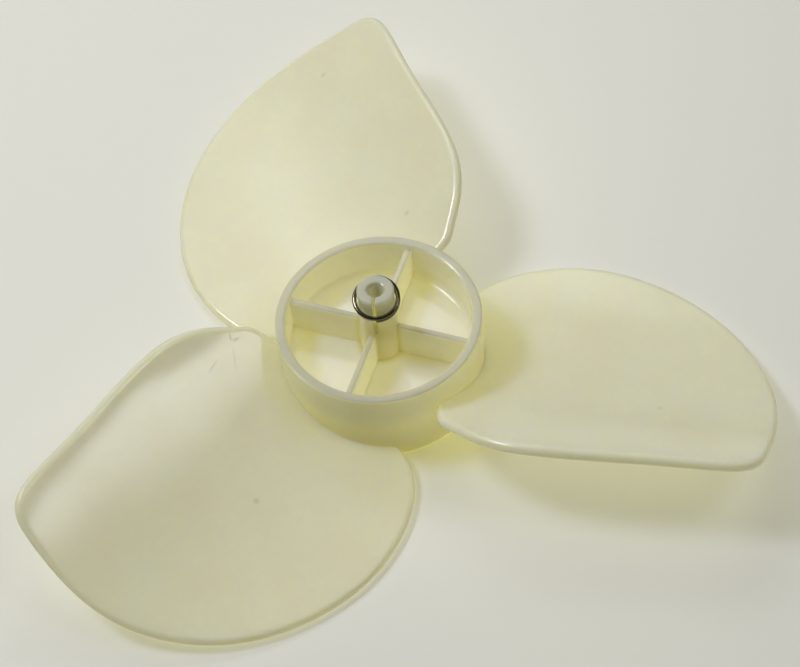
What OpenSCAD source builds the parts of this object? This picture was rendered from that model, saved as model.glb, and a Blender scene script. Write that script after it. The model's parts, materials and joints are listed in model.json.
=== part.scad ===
// Axial fan blade for a small appliance: one moulded impeller on a split boss, held by a wire clip.
// The base of the hub stands on z = 0, the shaft axis is Z, and the first blade lies along X.
// Millimetres and degrees.

/* [Blades] */
// Number of blades round the hub
blade_count = 3; // [2:1:3]
// Diameter of the circle that the blade tips sweep
fan_d = 174; // [156:1:196]
// Width of a blade across its widest part
blade_w = 63.6; // [50:0.2:68]
// Thickness of a blade, whose edges are rounded to half of it
blade_t = 2.4; // [1.6:0.1:3.2]
// Radius of the bend that curves each blade
bend_r = 103; // [85:1:160]
// Distance of the lowest line of the bend from the blade's own axis
bend_y = 30; // [20:1:34]
// Height of the lowest line of the blades above the base
blade_lift = 0.1; // [0:0.1:1]

/* [Hub] */
// Outer diameter of the hub cup
hub_d = 44; // [42:1:50]
// Height of the hub cup
hub_h = 19.7; // [17:0.1:24]
// Thickness of the cup wall at its rim
wall_t = 2.1; // [1.6:0.1:3]
// Thickness of the cup floor
floor_t = 2; // [1.4:0.1:3]
// Lean of the inside of the cup wall, for release from the mould
wall_draft = 0.5; // [0:0.1:1.5]
// Rounding of the outer edge of the base
base_round = 0.8; // [0.4:0.1:1.4]
// Rounding of the outer edge of the rim
rim_round = 0.3; // [0.2:0.1:0.6]
// Chamfer of the inner edge of the rim
rim_chamfer = 0.3; // [0.2:0.1:0.8]
// Fillet between the floor and the wall inside the cup
floor_fillet = 1.5; // [0.8:0.1:2.5]

/* [Ribs] */
// Number of ribs between the boss and the cup wall
rib_count = 4; // [3:1:6]
// Thickness of a rib
rib_t = 1.4; // [1:0.1:2.4]
// Drop of the rib tops below the rim
rib_drop = 1; // [0.5:0.1:4]
// Turn of the first rib from the first blade's axis
rib_turn = -10; // [-20:1:20]

/* [Shaft boss] */
// Diameter of the motor shaft's bore
bore_d = 3; // [2:0.05:4]
// Thickness of the material that closes the bore at its foot
bore_foot = 3; // [1:0.1:6]
// Width of the funnel at the mouth of the bore
funnel_w = 0.5; // [0.2:0.1:0.8]
// Depth of the funnel
funnel_h = 0.7; // [0.3:0.1:1.5]
// Diameter of the boss below the clip
boss_d = 8.5; // [8.2:0.1:11]
// Height of the shoulder under the clip above the rim
shoulder_rise = 4.4; // [3:0.1:8]
// Diameter of the neck that the clip grips
neck_d = 7.7; // [7:0.1:8]
// Step from the neck out to the lip that keeps the clip on
lip_step = 0.1; // [0.05:0.05:0.3]
// Height of the lip
lip_h = 1.2; // [0.8:0.1:3]
// Chamfer round the top of the lip
lip_chamfer = 0.3; // [0.1:0.1:0.6]
// Width of the slit at the top of the boss
slit_top = 0.5; // [0.3:0.1:1]
// Width of the slit at its foot
slit_foot = 0.9; // [0.4:0.1:1.2]
// Height of the slit's foot above the rim
slit_rise = 0; // [-1:0.1:2]
// Turn of the slit from the first blade's axis
slit_turn = -87; // [-96:1:-76]

/* [Shaft clip] */
// Diameter of the spring wire
wire_d = 0.95; // [0.7:0.05:1.2]
// Turns of wire in the clip
clip_turns = 1.75; // [1.25:0.05:2.5]
// Space between one turn of wire and the next
turn_gap = 0.1; // [0.05:0.05:0.3]
// Clearance between the wire and the boss
clip_gap = 0.2; // [0.1:0.05:0.4]
// Turn of the wire's lower end from the slit
clip_turn = 5; // [-30:1:30]
// Tilt of the clip about the line of the slit, as it was pushed on
clip_tilt = 6; // [0:1:8]

/* [Hidden] */
plastic = [0.9, 0.89, 0.76];
steel = [0.32, 0.32, 0.3];

fan_r = fan_d / 2;
hub_r = hub_d / 2;
edge_r = blade_t / 2;
// Height of the middle of the blade along the lowest line of its bend
low_z = blade_lift + edge_r;
rib_z = hub_h - rib_drop;
slit_z = hub_h + slit_rise;
clip_pitch = wire_d + turn_gap;
coil_r = neck_d / 2 + clip_gap + wire_d / 2;
coil_h = wire_d + clip_pitch * clip_turns;
coil_lean = coil_r * sin(clip_tilt);
shoulder_z = hub_h + shoulder_rise;
lip_z = shoulder_z + coil_h + 2 * coil_lean + 2 * clip_gap;
tip_z = lip_z + lip_h;

// Control points of the blade outline, counter-clockwise from the tip, seen from above
OUTLINE = [
    [85.5, -5], [75, 16], [57, 28], [37.5, 31.5], [19, 24.5], [14.5, 13.5],
    [15.5, -23], [18, -22], [29, -33], [61.5, -30], [80.5, -31.5], [82.5, -24.5]
];

// Steps along each stretch of the outline, round the blade's edge and from its middle to its edge
stretch_steps = 5;
round_steps = 5;
ring_steps = 5;
// Steps in the small arcs of the hub's section
arc_steps = 5;
// Sides of the hub cup, the boss and the bore
hub_sides = 128;
boss_sides = 64;
bore_sides = 48;
// Sides of the wire and rings in one turn of the clip
wire_sides = 10;
turn_steps = 30;
// How far the slit is cut past the tip of the boss
cut_over = 1;

// One point of a closed uniform cubic B-spline, u from 0 to 1 between control points i and i + 1
function spline_point(points, i, u) =
    let (n = len(points))
    let (a = points[(i + n - 1) % n])
    let (b = points[i])
    let (c = points[(i + 1) % n])
    let (d = points[(i + 2) % n])
    (pow(1 - u, 3) * a + (3 * pow(u, 3) - 6 * pow(u, 2) + 4) * b
        + (1 + 3 * u + 3 * pow(u, 2) - 3 * pow(u, 3)) * c + pow(u, 3) * d) / 6;

// The drawn outline, and how far it is stretched along and across the blade's axis so that its
// rounded edge has the wanted reach and width
drawn = [
    for (i = [0:len(OUTLINE) - 1], k = [0:stretch_steps - 1])
        spline_point(OUTLINE, i, k / stretch_steps)
];
drawn_w = max([for (p = drawn) p[1]]) - min([for (p = drawn) p[1]]);
stretch_y = (blade_w - blade_t) / drawn_w;
stretch_x = min([
    for (p = drawn)
        if (p[0] > drawn_w / 2)
            sqrt(pow(fan_r - edge_r, 2) - pow(stretch_y * p[1], 2)) / p[0]
]);
edge = [for (p = drawn) [stretch_x * p[0], stretch_y * p[1]]];

// Height of the middle of the blade at distance y from its axis: an arc of the bend's radius
function bend_z(y) = low_z + bend_r - sqrt(pow(bend_r, 2) - pow(y - bend_y, 2));

// The two directions across the middle surface at y: along the bend, and square to the surface
function bend_along(y) = [0, sqrt(1 - pow((y - bend_y) / bend_r, 2)), (y - bend_y) / bend_r];
function bend_up(y) = [0, -(y - bend_y) / bend_r, sqrt(1 - pow((y - bend_y) / bend_r, 2))];

function on_bend(p) = [p[0], p[1], bend_z(p[1])];

function arc(centre, r, from, to) = [
    for (i = [0:arc_steps])
        let (a = from + (to - from) * i / arc_steps)
        centre + r * [cos(a), sin(a)]
];

// A blade: rings of points run round the outline, from the middle of the underside out to the
// edge, round the edge, and back to the middle of the top.
module blade() {
    n = len(edge);
    middle = [(fan_r + hub_r) / 2, 0];
    outward = [
        for (i = [0:n - 1])
            let (t = edge[(i + 1) % n] - edge[(i + n - 1) % n])
            [t[1], -t[0]] / norm(t)
    ];
    under = [
        for (k = [1:ring_steps - 1], i = [0:n - 1])
            let (p = middle + (edge[i] - middle) * k / ring_steps)
            on_bend(p) - edge_r * bend_up(p[1])
    ];
    rim = [
        for (k = [0:round_steps], i = [0:n - 1])
            let (a = -90 + 180 * k / round_steps)
            let (y = edge[i][1])
            let (out = outward[i][0] * [1, 0, 0] + outward[i][1] * bend_along(y))
            on_bend(edge[i]) + edge_r * (cos(a) * out + sin(a) * bend_up(y))
    ];
    over = [
        for (k = [1:ring_steps - 1], i = [0:n - 1])
            let (p = edge[i] + (middle - edge[i]) * k / ring_steps)
            on_bend(p) + edge_r * bend_up(p[1])
    ];
    poles = [
        on_bend(middle) - edge_r * bend_up(middle[1]),
        on_bend(middle) + edge_r * bend_up(middle[1])
    ];
    points = concat(under, rim, over, poles);
    rings = (len(points) - 2) / n;
    low_pole = len(points) - 2;
    high_pole = len(points) - 1;
    sides = [
        for (k = [0:rings - 2], i = [0:n - 1])
            let (j = (i + 1) % n)
            for (face = [
                [k * n + i, k * n + n + i, k * n + j],
                [k * n + j, k * n + n + i, k * n + n + j]
            ]) face
    ];
    low_fan = [for (i = [0:n - 1]) [low_pole, i, (i + 1) % n]];
    high_fan = [for (i = [0:n - 1]) [high_pole, rings * n - n + (i + 1) % n, rings * n - n + i]];
    polyhedron(points = points, faces = concat(low_fan, sides, high_fan));
}

module cup_outside() {
    rotate_extrude($fn = hub_sides)
        polygon(concat(
            [[0, 0]],
            arc([hub_r - base_round, base_round], base_round, -90, 0),
            arc([hub_r - rim_round, hub_h - rim_round], rim_round, 0, 90),
            [[0, hub_h]]
        ));
}

// The hollow of the cup, cut far above the rim as well, so that no blade stands in its mouth
module cup_inside() {
    depth = hub_h - floor_t;
    mouth_r = hub_r - wall_t;
    foot_r = mouth_r - depth * tan(wall_draft);
    rotate_extrude($fn = hub_sides)
        polygon(concat(
            [[0, floor_t]],
            arc([foot_r - floor_fillet, floor_t + floor_fillet], floor_fillet, -90, 0),
            [
                [mouth_r, hub_h - rim_chamfer],
                [mouth_r + rim_chamfer, hub_h],
                [mouth_r + rim_chamfer, hub_h + fan_r],
                [0, hub_h + fan_r]
            ]
        ));
}

module ribs() {
    for (i = [0:rib_count - 1])
        rotate([0, 0, rib_turn + i * 360 / rib_count])
            translate([0, -rib_t / 2, floor_t / 2])
                cube([hub_r - wall_t / 2, rib_t, rib_z - floor_t / 2]);
}

module boss() {
    neck_r = neck_d / 2;
    lip_r = neck_r + lip_step;
    rotate_extrude($fn = boss_sides)
        polygon([
            [0, floor_t / 2],
            [boss_d / 2, floor_t / 2],
            [boss_d / 2, shoulder_z],
            [neck_r, shoulder_z],
            [neck_r, lip_z],
            [lip_r, lip_z],
            [lip_r, tip_z - lip_chamfer],
            [lip_r - lip_chamfer, tip_z],
            [0, tip_z]
        ]);
}

module bore() {
    translate([0, 0, bore_foot])
        cylinder(d = bore_d, h = tip_z, $fn = bore_sides);
    translate([0, 0, tip_z - funnel_h])
        cylinder(d1 = bore_d, d2 = bore_d + 2 * funnel_w, h = funnel_h, $fn = bore_sides);
}

// The slit opens the boss on one side, from the tip down to the rim, and widens downwards
module slit() {
    rotate([0, 0, slit_turn])
        rotate([90, 0, 90])
            linear_extrude(height = boss_d)
                polygon([
                    [-slit_foot / 2, slit_z],
                    [slit_foot / 2, slit_z],
                    [slit_top / 2, tip_z + cut_over],
                    [-slit_top / 2, tip_z + cut_over]
                ]);
}

module impeller() {
    color(plastic)
        difference() {
            union() {
                difference() {
                    union() {
                        cup_outside();
                        for (i = [0:blade_count - 1])
                            rotate([0, 0, i * 360 / blade_count])
                                blade();
                    }
                    cup_inside();
                }
                ribs();
                boss();
            }
            bore();
            slit();
        }
}

// The clip is a close coil of round wire round the neck, clear of the shoulder and the lip
module shaft_clip() {
    last = round(clip_turns * turn_steps);
    slope = atan(clip_pitch / (2 * PI * coil_r));
    points = [
        for (k = [0:last], i = [0:wire_sides - 1])
            let (a = clip_turn + 360 * k / turn_steps)
            let (b = 360 * i / wire_sides)
            let (out = [cos(a), sin(a), 0])
            let (up = [sin(a) * sin(slope), -cos(a) * sin(slope), cos(slope)])
            coil_r * out + [0, 0, clip_pitch * k / turn_steps]
                + wire_d / 2 * (cos(b) * out + sin(b) * up)
    ];
    sides = [
        for (k = [0:last - 1], i = [0:wire_sides - 1])
            let (j = (i + 1) % wire_sides)
            let (m = k * wire_sides)
            [m + i, m + j, m + wire_sides + j, m + wire_sides + i]
    ];
    start_cap = [[for (i = [0:wire_sides - 1]) wire_sides - 1 - i]];
    end_cap = [[for (i = [0:wire_sides - 1]) last * wire_sides + i]];
    color(steel)
        translate([0, 0, shoulder_z + clip_gap + coil_lean + wire_d / 2])
            rotate([0, 0, slit_turn])
                rotate([clip_tilt, 0, 0])
                    polyhedron(points = points, faces = concat(start_cap, sides, end_cap));
}

impeller();
shaft_clip();
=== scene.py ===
# %% [markdown]
# # A fan blade, dressed in Blender
# The object is the fan of a small appliance: three blades and a ribbed hub moulded whole in a
# cream, slightly translucent plastic, with a split boss that takes the motor's shaft and a little
# coil of spring wire that squeezes the boss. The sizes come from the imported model, so this script
# starts by loading it. Everything is in metres, the base of the hub stands on z = 0, the shaft is
# the Z axis and the first blade lies along X.

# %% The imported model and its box
import json
import math

import bpy
from mathutils import Matrix, Vector


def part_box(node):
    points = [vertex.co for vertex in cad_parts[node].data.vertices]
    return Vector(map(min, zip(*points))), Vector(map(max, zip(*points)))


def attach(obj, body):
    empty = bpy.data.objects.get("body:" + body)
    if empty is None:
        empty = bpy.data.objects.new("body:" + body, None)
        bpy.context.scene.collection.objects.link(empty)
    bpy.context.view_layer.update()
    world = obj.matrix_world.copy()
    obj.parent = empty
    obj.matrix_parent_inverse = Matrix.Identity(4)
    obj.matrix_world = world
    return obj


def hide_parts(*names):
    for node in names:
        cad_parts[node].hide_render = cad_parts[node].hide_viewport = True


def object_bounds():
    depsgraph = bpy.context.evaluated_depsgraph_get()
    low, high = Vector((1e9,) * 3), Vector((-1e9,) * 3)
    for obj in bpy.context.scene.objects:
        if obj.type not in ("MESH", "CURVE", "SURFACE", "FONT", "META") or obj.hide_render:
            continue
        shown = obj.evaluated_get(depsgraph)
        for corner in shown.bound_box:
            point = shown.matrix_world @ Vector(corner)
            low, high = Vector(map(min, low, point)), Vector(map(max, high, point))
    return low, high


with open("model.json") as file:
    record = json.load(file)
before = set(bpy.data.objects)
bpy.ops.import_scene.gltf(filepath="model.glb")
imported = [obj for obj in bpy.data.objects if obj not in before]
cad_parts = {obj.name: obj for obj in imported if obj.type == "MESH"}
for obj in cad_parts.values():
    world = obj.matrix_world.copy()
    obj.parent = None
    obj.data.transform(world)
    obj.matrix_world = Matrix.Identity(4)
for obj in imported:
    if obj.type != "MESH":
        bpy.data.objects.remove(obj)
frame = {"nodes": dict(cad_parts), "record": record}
cad_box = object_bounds()
record = frame["record"]
mm = 0.001

print("nodes:", sorted(frame["nodes"]))
print("CAD box in mm:", [[round(float(c) / mm, 2) for c in corner] for corner in cad_box])

# %% [markdown]
# ## The camera
# The photograph looks down on the part from the front at a steep slant, and it is tipped a
# little to one side. The camera is placed by where it aims, how far away it stands and three
# turns, which is how a photographer would set up a tripod, and the lens then gives the frame.

# %% Camera
camera_aim = Vector((5.18, -3.68, 19.7)) * mm
camera_distance = 534.1 * mm
camera_height_angle = math.radians(53.49)
camera_turn = math.radians(13.38)
camera_roll = math.radians(-6.16)
camera_lens = 114.3

camera_axes = (
    Matrix.Rotation(camera_turn, 3, "Z")
    @ Matrix.Rotation(math.pi / 2 - camera_height_angle, 3, "X")
    @ Matrix.Rotation(camera_roll, 3, "Z")
)
looks_back = camera_axes @ Vector((0, 0, 1))
bpy.ops.object.select_all(action="DESELECT")
bpy.ops.object.camera_add(
    location=camera_aim + camera_distance * looks_back, rotation=camera_axes.to_euler()
)
camera = bpy.context.object
camera.name = "camera"
camera.data.lens = camera_lens
bpy.context.scene.camera = camera
print("camera at", [round(c, 4) for c in camera.location])

# %% [markdown]
# ## Helpers for modelling by operators
# Blender's operators act on whatever is selected, so each step first says which piece it works
# on and which of its faces or edges. These few helpers do that: one makes a piece the only one
# selected, one selects faces by a test, and one adds a modifier and applies it at once.

# %% Select and finish
def work_on(piece):
    bpy.ops.object.select_all(action="DESELECT")
    piece.select_set(True)
    bpy.context.view_layer.objects.active = piece


def choose(piece, kind, test):
    """Leaves edit mode with only the faces or edges selected that pass the test."""
    work_on(piece)
    bpy.ops.object.mode_set(mode="EDIT")
    bpy.ops.mesh.select_mode(type=kind)
    bpy.ops.mesh.select_all(action="DESELECT")
    bpy.ops.object.mode_set(mode="OBJECT")
    mesh = piece.data
    items = mesh.polygons if kind == "FACE" else mesh.edges
    chosen = 0
    for item in items:
        corners = [mesh.vertices[i].co for i in item.vertices]
        if test(item, corners):
            item.select = True
            chosen += 1
    bpy.ops.object.mode_set(mode="EDIT")
    return chosen


def all_at(value, axis=2, slack=0.001 * mm):
    """A test: every corner lies at this value along the axis."""
    return lambda item, corners: all(abs(c[axis] - value) < slack for c in corners)


def all_within(low, high, radius_low, radius_high):
    """A test: every corner lies between two heights and between two distances from the shaft."""
    return lambda item, corners: all(
        low <= c.z <= high and radius_low <= math.hypot(c.x, c.y) <= radius_high
        for c in corners
    )


def leave_edit(piece):
    bpy.ops.object.mode_set(mode="OBJECT")
    return piece


def apply(piece, kind, **settings):
    work_on(piece)
    modifier = piece.modifiers.new(kind.lower(), kind)
    for name, value in settings.items():
        setattr(modifier, name, value)
    bpy.ops.object.modifier_apply(modifier=modifier.name)
    return piece


def outward(piece):
    """Merges doubled corners and turns every face outwards, on a closed shape with no hollow."""
    work_on(piece)
    bpy.ops.object.mode_set(mode="EDIT")
    bpy.ops.mesh.select_all(action="SELECT")
    bpy.ops.mesh.remove_doubles(threshold=0.0005 * mm)
    bpy.ops.mesh.normals_make_consistent(inside=False)
    return leave_edit(piece)


def bake_place(piece):
    """Moves the piece's place into its mesh, so that its object sits at the origin."""
    work_on(piece)
    bpy.ops.object.transform_apply(location=True, rotation=True, scale=True)
    return piece


def join_to(piece, tool, operation="UNION"):
    """Adds the tool's shape to the piece, or cuts it away, and deletes the tool."""
    apply(piece, "BOOLEAN", operation=operation, object=tool, solver="MANIFOLD")
    bpy.data.objects.remove(tool)
    return piece


# %% [markdown]
# ## The blade
# Each blade is a plate of even thickness with a fully rounded edge, bent like a piece cut from a
# tube. Bending a finished flat plate keeps its thickness and its edge true, so the outline is
# first drawn flat. It is a closed smooth curve through few control points, a NURBS curve in
# Blender, and bevelling a filled curve gives the plate and its round edge in one step.

# %% Sizes of the blades
blade_count = 3
fan_r = 87 * mm
blade_w = 63.6 * mm
blade_t = 2.4 * mm
bend_r = 103 * mm
bend_y = 30 * mm
low_z = 0.1 * mm + blade_t / 2
OUTLINE = [
    (85.5, -5), (75, 16), (57, 28), (37.5, 31.5), (19, 24.5), (14.5, 13.5),
    (15.5, -23), (18, -22), (29, -33), (61.5, -30), (80.5, -31.5), (82.5, -24.5),
]
curve_steps = 20
edge_steps = 5
strip_w = 1.5 * mm
support_w = 0.25 * mm


# %% The outline, drawn and then laid out flat
def blade_outline():
    """The outline's points, stretched to the blade's reach and width, less its round edge."""
    curve = bpy.data.curves.new("outline", "CURVE")
    curve.dimensions = "3D"
    spline = curve.splines.new("NURBS")
    spline.points.add(len(OUTLINE) - 1)
    for point, (x, y) in zip(spline.points, OUTLINE):
        point.co = (x * mm, y * mm, 0, 1)
    spline.use_cyclic_u = True
    spline.order_u = 4
    spline.resolution_u = curve_steps
    outline = bpy.data.objects.new("outline", curve)
    bpy.context.collection.objects.link(outline)
    work_on(outline)
    bpy.ops.object.convert(target="MESH")
    corners = outline.data.vertices
    drawn_w = max(v.co.y for v in corners) - min(v.co.y for v in corners)
    stretch_y = (blade_w - blade_t) / drawn_w
    reach = fan_r - blade_t / 2
    stretch_x = min(
        math.sqrt(reach**2 - (stretch_y * v.co.y) ** 2) / v.co.x
        for v in corners
        if v.co.x > drawn_w / 2
    )
    for v in corners:
        v.co.x *= stretch_x
        v.co.y *= stretch_y
    return outline


def lay_flat(outline):
    """Unrolls the outline, so that bending the plate later brings it back to where it was."""
    for v in outline.data.vertices:
        v.co.y = bend_r * math.asin((v.co.y - bend_y) / bend_r)
    return outline


outline = lay_flat(blade_outline())
print("outline points:", len(outline.data.vertices))


# %% The flat plate with its round edge
def flat_plate(outline):
    work_on(outline)
    bpy.ops.object.convert(target="CURVE")
    curve = outline.data
    curve.dimensions = "2D"
    curve.fill_mode = "BOTH"
    curve.bevel_depth = blade_t / 2
    curve.bevel_resolution = edge_steps
    bpy.ops.object.convert(target="MESH")
    plate = outward(bpy.context.object)
    plate.name = "blade"
    for side in (blade_t / 2, -blade_t / 2):
        choose(plate, "FACE", all_at(side))
        bpy.ops.mesh.dissolve_faces()
        bpy.ops.mesh.inset(thickness=support_w, use_even_offset=True)
        leave_edit(plate)
    return plate


plate = flat_plate(outline)
print("flat plate faces:", len(plate.data.polygons))


# %% Strips across the plate, and the bend
def cut_strips(plate):
    """Cuts the plate into narrow strips square to the bend, which then curves smoothly."""
    low = min(v.co.y for v in plate.data.vertices)
    high = max(v.co.y for v in plate.data.vertices)
    strips = math.ceil((high - low) / strip_w)
    work_on(plate)
    bpy.ops.object.mode_set(mode="EDIT")
    for i in range(1, strips):
        bpy.ops.mesh.select_all(action="SELECT")
        bpy.ops.mesh.bisect(
            plane_co=(0, low + (high - low) * i / strips, 0), plane_no=(0, 1, 0)
        )
    return leave_edit(plate)


def bend(plate):
    """Stands the plate on end as the Simple Deform modifier wants it, bends it, lays it down."""
    turn = Matrix(((0, 1, 0), (0, 0, 1), (1, 0, 0))).to_4x4()
    plate.data.transform(turn)
    along = [v.co.x for v in plate.data.vertices]
    angle = (max(along) - min(along)) / bend_r
    apply(plate, "SIMPLE_DEFORM", deform_method="BEND", deform_axis="Z", angle=angle)
    plate.data.transform(turn.inverted())
    plate.data.transform(Matrix.Translation((0, bend_y, low_z)))
    return plate


blade = bend(cut_strips(plate))
lows = [min(v.co[i] for v in blade.data.vertices) / mm for i in range(3)]
highs = [max(v.co[i] for v in blade.data.vertices) / mm for i in range(3)]
print("blade from", [round(c, 2) for c in lows], "to", [round(c, 2) for c in highs])

# %% [markdown]
# ## The hub
# The hub is a cup with a rounded base and a thin flat rim. It is made as by hand: a cylinder,
# its edges bevelled, the top face inset to the wall's thickness and pushed down as the hollow.
# The hollow narrows slightly downwards, as every moulding does so that it leaves its mould. Its
# floor lies half-way up, where the photograph shows the feet of the ribs.

# %% Sizes of the hub
hub_r = 22 * mm
hub_h = 19.7 * mm
wall_t = 2.1 * mm
floor_z = 10.2 * mm
wall_draft = math.radians(0.5)
base_round = 0.8 * mm
rim_round = 0.3 * mm
rim_chamfer = 0.3 * mm
floor_fillet = 1.5 * mm
hub_sides = 256


# %% The cup
def cup():
    bpy.ops.object.select_all(action="DESELECT")
    bpy.ops.mesh.primitive_cylinder_add(
        vertices=hub_sides, radius=hub_r, depth=hub_h, location=(0, 0, hub_h / 2)
    )
    hub = bake_place(bpy.context.object)
    hub.name = "impeller_moulding"
    choose(hub, "EDGE", all_at(0))
    bpy.ops.mesh.bevel(offset=base_round, segments=6, affect="EDGES")
    leave_edit(hub)
    choose(hub, "EDGE", all_at(hub_h))
    bpy.ops.mesh.bevel(offset=rim_round, segments=4, affect="EDGES")
    leave_edit(hub)
    return hub


def hollow(hub):
    mouth_r = hub_r - wall_t
    depth = hub_h - floor_z
    foot_r = mouth_r - depth * math.tan(wall_draft)
    choose(hub, "FACE", lambda face, corners: len(corners) > 4 and face.center.z > hub_h / 2)
    bpy.ops.mesh.inset(thickness=wall_t - rim_round - rim_chamfer, use_even_offset=True)
    bpy.ops.mesh.inset(thickness=rim_chamfer, depth=-rim_chamfer, use_even_offset=True)
    bpy.ops.mesh.extrude_region_move(
        TRANSFORM_OT_translate={"value": (0, 0, rim_chamfer - depth)}
    )
    shrink = foot_r / mouth_r
    bpy.ops.transform.resize(value=(shrink, shrink, 1))
    leave_edit(hub)
    choose(hub, "EDGE", all_within(floor_z - 0.01 * mm, floor_z + 0.01 * mm, 0, hub_r))
    bpy.ops.mesh.bevel(offset=floor_fillet, segments=8, affect="EDGES")
    return leave_edit(hub)


hub = hollow(cup())
print("cup faces:", len(hub.data.polygons))

# %% [markdown]
# ## Blades onto the hub
# The blade is copied round the hub. Each copy is first cut off inside the thickness of the wall,
# so that nothing of it shows inside the cup, and is then fused to the cup by a Boolean.

# %% Three blades round the cup
def root_plug():
    bpy.ops.object.select_all(action="DESELECT")
    bpy.ops.mesh.primitive_cylinder_add(
        vertices=hub_sides, radius=hub_r - wall_t / 2, depth=4 * hub_h, location=(0, 0, hub_h)
    )
    return bake_place(bpy.context.object)


def turned_copy(piece, turn):
    copy = piece.copy()
    copy.data = piece.data.copy()
    bpy.context.collection.objects.link(copy)
    copy.data.transform(Matrix.Rotation(turn, 4, "Z"))
    return copy


join_to(blade, root_plug(), "DIFFERENCE")
for i in range(blade_count):
    join_to(hub, turned_copy(blade, math.tau * i / blade_count))
bpy.data.objects.remove(blade)
print("hub and blades, faces:", len(hub.data.polygons))

# %% [markdown]
# ## Ribs and boss
# Four thin ribs tie the boss in the middle to the wall. The boss stands above the rim. It has a
# shoulder that stops the wire clip, a neck that the clip grips and a low lip that keeps the clip
# on. Its edges are softened before it is fused on, while they are still easy to select.

# %% Sizes of the ribs and the boss
rib_count = 4
rib_t = 1.4 * mm
rib_z = hub_h - 1 * mm
rib_turn = math.radians(-10)
rib_soft = 0.25 * mm
bore_r = record["mounts"][0]["dims"]["r_mm"] * mm
bore_foot = 3 * mm
funnel_w = 0.5 * mm
funnel_h = 0.7 * mm
boss_r = 4.25 * mm
shoulder_z = hub_h + 4.4 * mm
neck_r = 3.85 * mm
lip_step = 0.1 * mm
lip_h = 1.2 * mm
lip_chamfer = 0.3 * mm
tip_z = cad_box[1][2]
lip_z = tip_z - lip_h
slit_top = 0.5 * mm
slit_foot = 0.9 * mm
slit_z = hub_h
slit_turn = math.radians(-87)
boss_sides = 128
print("bore radius in mm:", bore_r / mm, "tip at", round(tip_z / mm, 2))


# %% One rib
def rib(turn):
    reach = hub_r - wall_t / 2
    foot = floor_z - wall_t / 2
    bpy.ops.object.select_all(action="DESELECT")
    bpy.ops.mesh.primitive_cube_add(
        size=1,
        location=(reach / 2, 0, (rib_z + foot) / 2),
        scale=(reach, rib_t, rib_z - foot),
    )
    bar = bake_place(bpy.context.object)
    choose(bar, "EDGE", lambda edge, c: all_at(rib_z)(edge, c) and abs(c[0].y - c[1].y) < 0.1 * mm)
    bpy.ops.mesh.bevel(offset=rib_soft, segments=4, affect="EDGES")
    leave_edit(bar)
    bar.data.transform(Matrix.Rotation(turn, 4, "Z"))
    return bar


# %% The boss, turned from one cylinder
def top_of(piece, z):
    return choose(piece, "FACE", all_at(z))


def boss():
    foot = floor_z - wall_t / 2
    bpy.ops.object.select_all(action="DESELECT")
    bpy.ops.mesh.primitive_cylinder_add(
        vertices=boss_sides,
        radius=boss_r,
        depth=shoulder_z - foot,
        location=(0, 0, (shoulder_z + foot) / 2),
    )
    post = bake_place(bpy.context.object)
    top_of(post, shoulder_z)
    bpy.ops.mesh.inset(thickness=boss_r - neck_r, use_even_offset=True)
    bpy.ops.mesh.extrude_region_move(
        TRANSFORM_OT_translate={"value": (0, 0, lip_z - shoulder_z)}
    )
    bpy.ops.mesh.extrude_region_move(TRANSFORM_OT_translate={"value": (0, 0, 0)})
    grow = (neck_r + lip_step) / neck_r
    bpy.ops.transform.resize(value=(grow, grow, 1))
    bpy.ops.mesh.extrude_region_move(TRANSFORM_OT_translate={"value": (0, 0, tip_z - lip_z)})
    leave_edit(post)
    choose(post, "EDGE", all_at(tip_z))
    bpy.ops.mesh.bevel(offset=lip_chamfer, segments=4, affect="EDGES")
    leave_edit(post)
    choose(
        post,
        "EDGE",
        lambda edge, c: all_at(shoulder_z)(edge, c) and math.hypot(*c[0].xy) > neck_r + 0.1 * mm,
    )
    bpy.ops.mesh.bevel(offset=0.15 * mm, segments=3, affect="EDGES")
    leave_edit(post)
    return outward(post)


for i in range(rib_count):
    join_to(hub, rib(rib_turn + math.tau * i / rib_count))
join_to(hub, boss())
print("with ribs and boss, faces:", len(hub.data.polygons))


# %% The bore with its funnel, and the slit
def bore():
    top = tip_z + funnel_h
    bpy.ops.object.select_all(action="DESELECT")
    bpy.ops.mesh.primitive_cylinder_add(
        vertices=boss_sides,
        radius=bore_r,
        depth=top - bore_foot,
        location=(0, 0, (top + bore_foot) / 2),
    )
    drill = bake_place(bpy.context.object)
    work_on(drill)
    bpy.ops.object.mode_set(mode="EDIT")
    bpy.ops.mesh.select_all(action="SELECT")
    bpy.ops.mesh.bisect(plane_co=(0, 0, tip_z - funnel_h), plane_no=(0, 0, 1))
    leave_edit(drill)
    choose(drill, "FACE", all_at(top))
    grow = (bore_r + 2 * funnel_w) / bore_r
    bpy.ops.transform.resize(value=(grow, grow, 1))
    return leave_edit(drill)


def slit():
    top = tip_z + lip_h
    bpy.ops.object.select_all(action="DESELECT")
    bpy.ops.mesh.primitive_cube_add(
        size=1,
        location=(boss_r, 0, (top + slit_z) / 2),
        scale=(2 * boss_r, slit_foot, top - slit_z),
    )
    saw = bake_place(bpy.context.object)
    choose(saw, "FACE", all_at(top))
    bpy.ops.transform.resize(value=(1, slit_top / slit_foot, 1))
    leave_edit(saw)
    saw.data.transform(Matrix.Rotation(slit_turn, 4, "Z"))
    return saw


join_to(hub, bore(), "DIFFERENCE")
join_to(hub, slit(), "DIFFERENCE")
impeller = hub
print("impeller faces:", len(impeller.data.polygons))

# %% Smooth faces with crisp corners
work_on(impeller)
bpy.ops.object.shade_smooth_by_angle(angle=math.radians(30))
apply(impeller, "WEIGHTED_NORMAL", keep_sharp=True, weight=80)
impeller.data.calc_loop_triangles()
print("impeller triangles:", len(impeller.data.loop_triangles))

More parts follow.
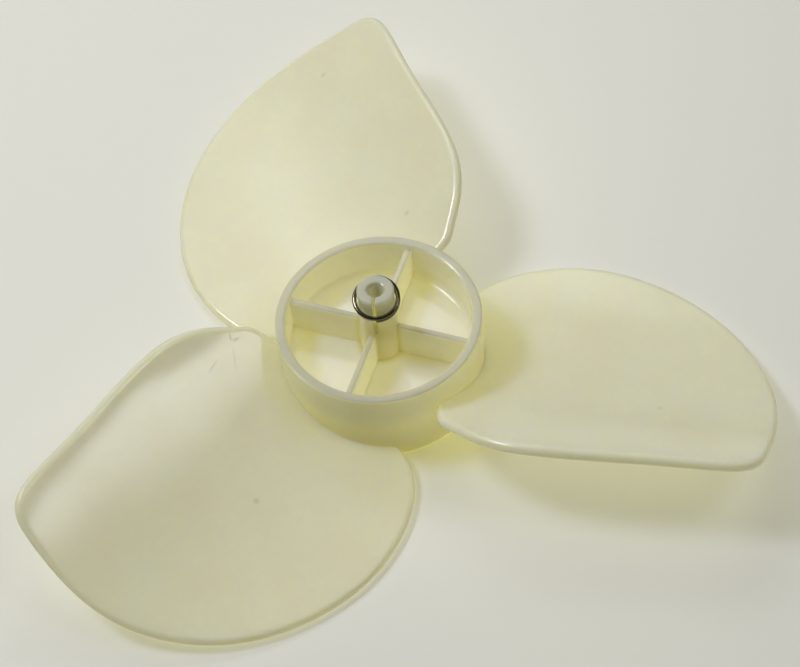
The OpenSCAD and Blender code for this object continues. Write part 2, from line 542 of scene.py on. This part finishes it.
# %% [markdown]
# ## The wire clip
# The clip is a close coil of round spring wire, pushed down over the boss and sitting askew: it
# touches the shoulder at the slit and leans up to the lip at the back, where its upper end hides.
# The Screw modifier draws it: it turns a small circle round the shaft and lifts it as it goes, as
# a coiling machine does. The two ends are then closed and their edges broken.

# %% Sizes of the clip
wire_r = 0.475 * mm
clip_turns = 1.5
clip_pitch = 2 * wire_r + 0.05 * mm
clip_gap = 0.27 * mm
clip_start = math.radians(-82)
clip_lean = math.radians(14)
clip_dip = math.radians(4)
coil_r = neck_r + clip_gap + wire_r
clip_z = shoulder_z + 0.1 * mm + wire_r + coil_r * math.sin(clip_lean)
wire_sides = 24
turn_steps = 72


# %% The coil
def wire_clip():
    bpy.ops.object.select_all(action="DESELECT")
    bpy.ops.mesh.primitive_circle_add(
        vertices=wire_sides, radius=wire_r, rotation=(math.pi / 2, 0, 0), location=(coil_r, 0, 0)
    )
    clip = bake_place(bpy.context.object)
    clip.name = "shaft_clip_wire"
    apply(
        clip,
        "SCREW",
        axis="Z",
        angle=math.tau * clip_turns,
        screw_offset=clip_pitch * clip_turns,
        steps=round(turn_steps * clip_turns),
        render_steps=round(turn_steps * clip_turns),
        use_merge_vertices=False,
    )
    work_on(clip)
    bpy.ops.object.mode_set(mode="EDIT")
    bpy.ops.mesh.select_mode(type="EDGE")
    bpy.ops.mesh.select_all(action="DESELECT")
    bpy.ops.mesh.select_non_manifold()
    bpy.ops.mesh.edge_face_add()
    leave_edit(clip)
    outward(clip)
    choose(clip, "FACE", lambda face, corners: len(corners) > 4)
    bpy.ops.mesh.region_to_loop()
    bpy.ops.mesh.bevel(offset=0.1 * mm, segments=3, affect="EDGES")
    leave_edit(clip)
    place = (
        Matrix.Translation((0, 0, clip_z))
        @ Matrix.Rotation(clip_dip, 4, "Y")
        @ Matrix.Rotation(clip_lean, 4, "X")
        @ Matrix.Rotation(clip_start, 4, "Z")
    )
    clip.data.transform(place)
    work_on(clip)
    bpy.ops.object.shade_smooth_by_angle(angle=math.radians(30))
    return clip


clip = wire_clip()
for axis in range(3):
    new = [v.co[axis] / mm for v in clip.data.vertices]
    old = [corner[axis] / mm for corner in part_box("shaft_clip")]
    print("clip", "xyz"[axis], round(min(new), 2), round(max(new), 2), "CAD", old)


# %% [markdown]
# ## The finishes
# Each effect that more than one finish uses is a node group, built once. The plastic is milky:
# light enters it, wanders and comes out warmer, so it has subsurface scattering whose blue dies
# out first. Its colour is a little cloudy, and on top lies a moulded gloss with very faint waves.

# %% Node helpers
def new_group(name, inputs, outputs):
    """A shader node group with float inputs {name: value} and outputs [(name, kind)]."""
    group = bpy.data.node_groups.new(name, "ShaderNodeTree")
    for label, value in inputs.items():
        socket = group.interface.new_socket(
            label, in_out="INPUT", socket_type="NodeSocketFloat"
        )
        socket.default_value = value
    for label, kind in outputs:
        group.interface.new_socket(label, in_out="OUTPUT", socket_type=kind)
    enter = group.nodes.new("NodeGroupInput")
    leave = group.nodes.new("NodeGroupOutput")
    return group, enter, leave


def wave_group():
    """Slow waves in a moulded or drawn face, as a height."""
    group, enter, leave = new_group(
        "slow_waves", {"Scale": 40, "Detail": 1}, [("Height", "NodeSocketFloat")]
    )
    place = group.nodes.new("ShaderNodeTexCoord")
    noise = group.nodes.new("ShaderNodeTexNoise")
    group.links.new(place.outputs["Object"], noise.inputs["Vector"])
    group.links.new(enter.outputs["Scale"], noise.inputs["Scale"])
    group.links.new(enter.outputs["Detail"], noise.inputs["Detail"])
    group.links.new(noise.outputs["Fac"], leave.inputs["Height"])
    return group


slow_waves = wave_group()


def ramp(group, value, start, end):
    """0 up to start and 1 from end on, or the other way round where end is the smaller."""
    node = group.nodes.new("ShaderNodeMapRange")
    node.interpolation_type = "SMOOTHSTEP"
    node.inputs["From Min"].default_value = start
    node.inputs["From Max"].default_value = end
    group.links.new(value, node.inputs["Value"])
    return node.outputs["Result"]


def times(group, a, b):
    node = group.nodes.new("ShaderNodeMath")
    node.operation = "MULTIPLY"
    group.links.new(a, node.inputs[0])
    group.links.new(b, node.inputs[1])
    return node.outputs["Value"]


foot_high = 15 * mm
foot_low = 8 * mm


def painted_shade_mask_group():
    """Masks where light and shade are painted: edges that face up, all in the cup, the boss, its
    tip, and the wall's foot.
    """
    labels = ("ShadedLands", "Inside", "ShadedBoss", "ShadedTip", "GlowingFoot")
    outputs = [(label, "NodeSocketFloat") for label in labels]
    group, enter, leave = new_group("painted_shade_masks", {}, outputs)
    place = group.nodes.new("ShaderNodeTexCoord")
    split = group.nodes.new("ShaderNodeSeparateXYZ")
    group.links.new(place.outputs["Object"], split.inputs["Vector"])
    flat = group.nodes.new("ShaderNodeVectorMath")
    flat.operation = "MULTIPLY"
    flat.inputs[1].default_value = (1, 1, 0)
    group.links.new(place.outputs["Object"], flat.inputs[0])
    reach = group.nodes.new("ShaderNodeVectorMath")
    reach.operation = "LENGTH"
    group.links.new(flat.outputs["Vector"], reach.inputs[0])
    facing = group.nodes.new("ShaderNodeNewGeometry")
    slope = group.nodes.new("ShaderNodeSeparateXYZ")
    group.links.new(facing.outputs["Normal"], slope.inputs["Vector"])
    away, height = reach.outputs["Value"], split.outputs["Z"]
    in_cup = ramp(group, away, hub_r - wall_t + 0.1 * mm, hub_r - wall_t)
    outside = ramp(group, away, hub_r - 0.3 * mm, hub_r - 0.1 * mm)
    high = ramp(group, height, rib_z - 0.5 * mm, rib_z - 0.3 * mm)
    up = ramp(group, slope.outputs["Z"], 0.5, 0.95)
    at_boss = ramp(group, away, boss_r + 1.5 * mm, boss_r + 0.2 * mm)
    in_shade = ramp(group, height, shoulder_z + 0.5 * mm, hub_h)
    above = ramp(group, height, shoulder_z, shoulder_z + 1 * mm)
    low = ramp(group, height, foot_high, foot_low)
    # Painted shade on the edges that face up, the boss and its tip; painted light in the cup; a
    # painted glow at the wall's foot.
    group.links.new(times(group, high, up), leave.inputs["ShadedLands"])
    group.links.new(in_cup, leave.inputs["Inside"])
    group.links.new(times(group, at_boss, in_shade), leave.inputs["ShadedBoss"])
    group.links.new(times(group, at_boss, above), leave.inputs["ShadedTip"])
    group.links.new(times(group, outside, low), leave.inputs["GlowingFoot"])
    return group


painted_shade_masks = painted_shade_mask_group()

# %% [markdown]
# The blades have been handled: there are four dull specks on them, and by the hub of one a small V
# and two fine scratches. Each mark is a stretched ball in space, placed where it crosses the
# blade, and the mask is where the surface lies inside one of the balls.

# %% Marks of handling
MARKS = [
    (-31.0, -6.7, 17.6, -66, 1.1, 0.28),
    (-29.8, -6.8, 17.0, 49, 1.1, 0.28),
    (-29.5, -10.9, 15.8, -73, 3.4, 0.15),
    (-33.4, -13.9, 16.8, 68, 2.5, 0.22),
    (-24.6, 72.8, 13.0, 0, 0.8, 0.8),
    (0.9, 33.1, 14.2, 0, 0.8, 0.8),
    (-20.6, -39.8, 6.4, 0, 0.9, 0.9),
    (60.6, -11.2, 11.2, 0, 0.8, 0.8),
]
mark_depth = 4 * mm


def mark_group():
    """A mask of the marks. Each has its place and turn, and half its length and its width."""
    group, enter, leave = new_group("hand_marks", {}, [("Marks", "NodeSocketFloat")])
    place = group.nodes.new("ShaderNodeTexCoord")
    marked = None
    for x, y, z, turn, half_length, half_width in MARKS:
        ball = group.nodes.new("ShaderNodeMapping")
        ball.vector_type = "TEXTURE"
        ball.inputs["Location"].default_value = (x * mm, y * mm, z * mm)
        ball.inputs["Rotation"].default_value = (0, 0, math.radians(turn))
        ball.inputs["Scale"].default_value = (half_length * mm, half_width * mm, mark_depth)
        group.links.new(place.outputs["Object"], ball.inputs["Vector"])
        away = group.nodes.new("ShaderNodeVectorMath")
        away.operation = "LENGTH"
        group.links.new(ball.outputs["Vector"], away.inputs[0])
        mask = ramp(group, away.outputs["Value"], 1, 0.3)
        if marked:
            either = group.nodes.new("ShaderNodeMath")
            either.operation = "MAXIMUM"
            group.links.new(marked, either.inputs[0])
            group.links.new(mask, either.inputs[1])
            mask = either.outputs["Value"]
        marked = mask
    group.links.new(marked, leave.inputs["Marks"])
    return group


hand_marks = mark_group()


def new_material(name):
    material = bpy.data.materials.new(name)
    material.use_nodes = True
    nodes = material.node_tree.nodes
    links = material.node_tree.links
    return material, nodes, links, nodes["Principled BSDF"]


# %% Cream plastic
gloss_roughness = 0.1
mark_roughness = 0.4
mark_color = (0.54, 0.52, 0.37)


def tinted(nodes, links, color, mask, other):
    """The color, changed to the other one where the mask is 1. A color is a value or a socket."""
    mix = nodes.new("ShaderNodeMix")
    mix.data_type = "RGBA"
    if isinstance(color, tuple):
        mix.inputs["A"].default_value = (*color, 1)
    else:
        links.new(color, mix.inputs["A"])
    mix.inputs["B"].default_value = (*other, 1)
    links.new(mask, mix.inputs["Factor"])
    return mix.outputs["Result"]


def placed(nodes, group):
    node = nodes.new("ShaderNodeGroup")
    node.node_tree = group
    return node


def cream_plastic(name, color, cloud, painted_shading, sent_on, sent_color, shade_color, corner):
    """Part of the light is sent back and part is sent on through each face, warmer."""
    material, nodes, links, shader = new_material(name)
    shader.inputs["Subsurface Weight"].default_value = 1
    shader.inputs["Subsurface Radius"].default_value = (1, 0.85, 0.35)
    shader.inputs["Subsurface Scale"].default_value = 4 * mm
    shader.inputs["IOR"].default_value = 1.49
    marks = placed(nodes, hand_marks)
    gloss = nodes.new("ShaderNodeMapRange")
    gloss.inputs["To Min"].default_value = gloss_roughness
    gloss.inputs["To Max"].default_value = mark_roughness
    links.new(marks.outputs["Marks"], gloss.inputs["Value"])
    links.new(gloss.outputs["Result"], shader.inputs["Roughness"])
    waves = placed(nodes, slow_waves)
    waves.inputs["Scale"].default_value = 38
    soft = nodes.new("ShaderNodeBevel")
    soft.samples = 4
    soft.inputs["Radius"].default_value = corner
    bump = nodes.new("ShaderNodeBump")
    bump.inputs["Distance"].default_value = 0.8 * mm
    bump.inputs["Strength"].default_value = 0.6
    links.new(waves.outputs["Height"], bump.inputs["Height"])
    links.new(soft.outputs["Normal"], bump.inputs["Normal"])
    links.new(bump.outputs["Normal"], shader.inputs["Normal"])

    clouds = placed(nodes, slow_waves)
    clouds.inputs["Scale"].default_value = 70
    clouds.inputs["Detail"].default_value = 3
    cloudy = ramp(material.node_tree, clouds.outputs["Height"], 0.35, 0.65)
    color = tinted(nodes, links, color, cloudy, cloud)
    masks = placed(nodes, painted_shade_masks)
    # The hub's painted light and shade go on here.
    for label, other in painted_shading.items():
        color = tinted(nodes, links, color, masks.outputs[label], other)
    color = tinted(nodes, links, color, marks.outputs["Marks"], mark_color)
    links.new(color, shader.inputs["Base Color"])

    through = nodes.new("ShaderNodeBsdfTranslucent")
    through.inputs["Color"].default_value = (*sent_color, 1)
    body = nodes.new("ShaderNodeMixShader")
    body.inputs["Fac"].default_value = sent_on
    links.new(shader.outputs["BSDF"], body.inputs[1])
    links.new(through.outputs["BSDF"], body.inputs[2])

    passed = nodes.new("ShaderNodeBsdfTransparent")
    passed.inputs["Color"].default_value = (*shade_color, 1)
    path = nodes.new("ShaderNodeLightPath")
    shade = nodes.new("ShaderNodeMixShader")
    links.new(path.outputs["Is Shadow Ray"], shade.inputs["Fac"])
    links.new(body.outputs["Shader"], shade.inputs[1])
    links.new(passed.outputs["BSDF"], shade.inputs[2])
    links.new(shade.outputs["Shader"], nodes["Material Output"].inputs["Surface"])
    return material


# Painted light and shade on the hub: darker grey on the rim, the rib tops and the boss tip, deeper
# yellow on the boss below the shoulder, lighter in the cup, and a yellow glow painted on the wall's
# foot.
hub_painted_light_and_shade = {
    "Inside": (0.82, 0.81, 0.72),
    "ShadedBoss": (0.74, 0.71, 0.42),
    "GlowingFoot": (0.92, 0.90, 0.56),
    "ShadedLands": (0.50, 0.50, 0.42),
    "ShadedTip": (0.48, 0.49, 0.41),
}
hub_plastic = cream_plastic(
    "hub_plastic",
    color=(0.75, 0.755, 0.60),
    cloud=(0.73, 0.73, 0.57),
    painted_shading=hub_painted_light_and_shade,
    sent_on=0.28,
    sent_color=(0.94, 0.92, 0.72),
    shade_color=(0.82, 0.79, 0.45),
    corner=0.7 * mm,
)
blade_plastic = cream_plastic(
    "blade_plastic",
    color=(0.715, 0.72, 0.60),
    cloud=(0.70, 0.695, 0.565),
    painted_shading={},
    sent_on=0.25,
    sent_color=(0.92, 0.90, 0.72),
    shade_color=(0.765, 0.755, 0.665),
    corner=0.3 * mm,
)


# %% Dark drawn wire
def dark_wire():
    material, nodes, links, shader = new_material("dark_wire")
    shader.inputs["Base Color"].default_value = (0.17, 0.155, 0.11, 1)
    shader.inputs["Metallic"].default_value = 1
    shader.inputs["Roughness"].default_value = 0.2
    waves = placed(nodes, slow_waves)
    waves.inputs["Scale"].default_value = 1500
    bump = nodes.new("ShaderNodeBump")
    bump.inputs["Distance"].default_value = 0.02 * mm
    links.new(waves.outputs["Height"], bump.inputs["Height"])
    links.new(bump.outputs["Normal"], shader.inputs["Normal"])
    return material


def dress(piece, material):
    piece.data.materials.clear()
    piece.data.materials.append(material)


def dress_hub(piece, blades, hub):
    """Gives the blades' finish to the piece and the hub's to every face of the hub."""
    dress(piece, blades)
    piece.data.materials.append(hub)
    faces = choose(piece, "FACE", all_within(0, tip_z, 0, hub_r + 0.02 * mm))
    piece.active_material_index = 1
    bpy.ops.object.material_slot_assign()
    leave_edit(piece)
    return faces


print("hub faces:", dress_hub(impeller, blade_plastic, hub_plastic))
dress(clip, dark_wire())

# %% [markdown]
# ## Floor and light
# The part lies on a plain pale table. The photograph tells where its light came from: the hub's
# shadow on the right blade points away from a broad lamp on the left, its yellow rim on the left
# blade points away from a softer one on the right, and the table is brightest at the back. The
# left blade also mirrors a small round lamp, whose clear lower edge is the border of its bright
# band. The faces of the lamps fade, because the glows in the plastic have soft ends.

# %% The floor
def pale_floor():
    bpy.ops.object.select_all(action="DESELECT")
    bpy.ops.mesh.primitive_plane_add(size=4, location=(0, 0, 0))
    floor = bake_place(bpy.context.object)
    floor.name = "floor"
    material, nodes, links, shader = new_material("pale_table")
    shader.inputs["Base Color"].default_value = (0.74, 0.735, 0.66, 1)
    shader.inputs["Roughness"].default_value = 0.5
    dress(floor, material)
    return floor


floor = pale_floor()


# %% A soft lamp
def lamp(name, turn, height_angle, distance, width, depth, power):
    """An oval lamp that looks at the hub from this direction, its angles given in degrees."""
    turn, height_angle = math.radians(turn), math.radians(height_angle)
    direction = Vector(
        (
            math.cos(height_angle) * math.cos(turn),
            math.cos(height_angle) * math.sin(turn),
            math.sin(height_angle),
        )
    )
    bpy.ops.object.light_add(
        type="AREA",
        location=direction * distance,
        rotation=direction.to_track_quat("Z", "Y").to_euler(),
    )
    light = bpy.context.object
    light.name = name
    light.data.shape = "ELLIPSE"
    light.data.size = width
    light.data.size_y = depth
    light.data.energy = power
    return light


def fade_from(light, brightest, stretch):
    """Fades the lamp's face from its brightest place, as cloth over a bulb does."""
    light.data.use_nodes = True
    nodes = light.data.node_tree.nodes
    links = light.data.node_tree.links
    face = nodes.new("ShaderNodeNewGeometry")
    away = nodes.new("ShaderNodeVectorMath")
    away.operation = "SUBTRACT"
    away.inputs[1].default_value = (*brightest, 0)
    links.new(face.outputs["Parametric"], away.inputs[0])
    scaled = nodes.new("ShaderNodeVectorMath")
    scaled.operation = "MULTIPLY"
    scaled.inputs[1].default_value = (*stretch, 0)
    links.new(away.outputs["Vector"], scaled.inputs[0])
    far = nodes.new("ShaderNodeVectorMath")
    far.operation = "LENGTH"
    links.new(scaled.outputs["Vector"], far.inputs[0])
    fade = nodes.new("ShaderNodeMapRange")
    fade.interpolation_type = "SMOOTHSTEP"
    fade.inputs["From Min"].default_value = 1
    fade.inputs["From Max"].default_value = 0
    fade.inputs["To Max"].default_value = 2.5
    links.new(far.outputs["Value"], fade.inputs["Value"])
    links.new(fade.outputs["Result"], nodes["Emission"].inputs["Strength"])


# %% Lamps and world
middle, lower_edge = (0.5, 0.5), (0.5, 0)
all_round, upwards = (2, 2), (0, 1)
left_lamp = lamp("left_lamp", 176, 56, 1.1, 0.5, 0.5, 9.27)
fade_from(left_lamp, middle, all_round)
right_lamp = lamp("right_lamp", 5, 60.5, 0.8, 0.5, 0.28, 0.6)
fade_from(right_lamp, lower_edge, upwards)
right_lamp.visible_glossy = False
round_lamp = lamp("round_lamp", 1.3, 59.1, 0.8, 0.24, 0.24, 0.48)
fade_from(round_lamp, lower_edge, upwards)
back_lamp = lamp("back_lamp", 100, 50, 0.42, 0.4, 0.24, 0.37)
fade_from(back_lamp, middle, all_round)
corner_lamp = lamp("corner_lamp", 144, 47, 0.6, 0.42, 0.26, 0.36)
fade_from(corner_lamp, middle, all_round)

world = bpy.data.worlds.new("room")
bpy.context.scene.world = world
world.use_nodes = True
sky = world.node_tree.nodes["Background"]
sky.inputs["Color"].default_value = (1, 1, 1, 1)
sky.inputs["Strength"].default_value = 0.05

bpy.context.scene.view_settings.view_transform = "Standard"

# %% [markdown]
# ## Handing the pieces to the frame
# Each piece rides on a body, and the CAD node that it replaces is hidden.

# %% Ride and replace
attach(impeller, "root")
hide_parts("impeller")
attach(clip, "root")
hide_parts("shaft_clip")

bpy.context.view_layer.update()
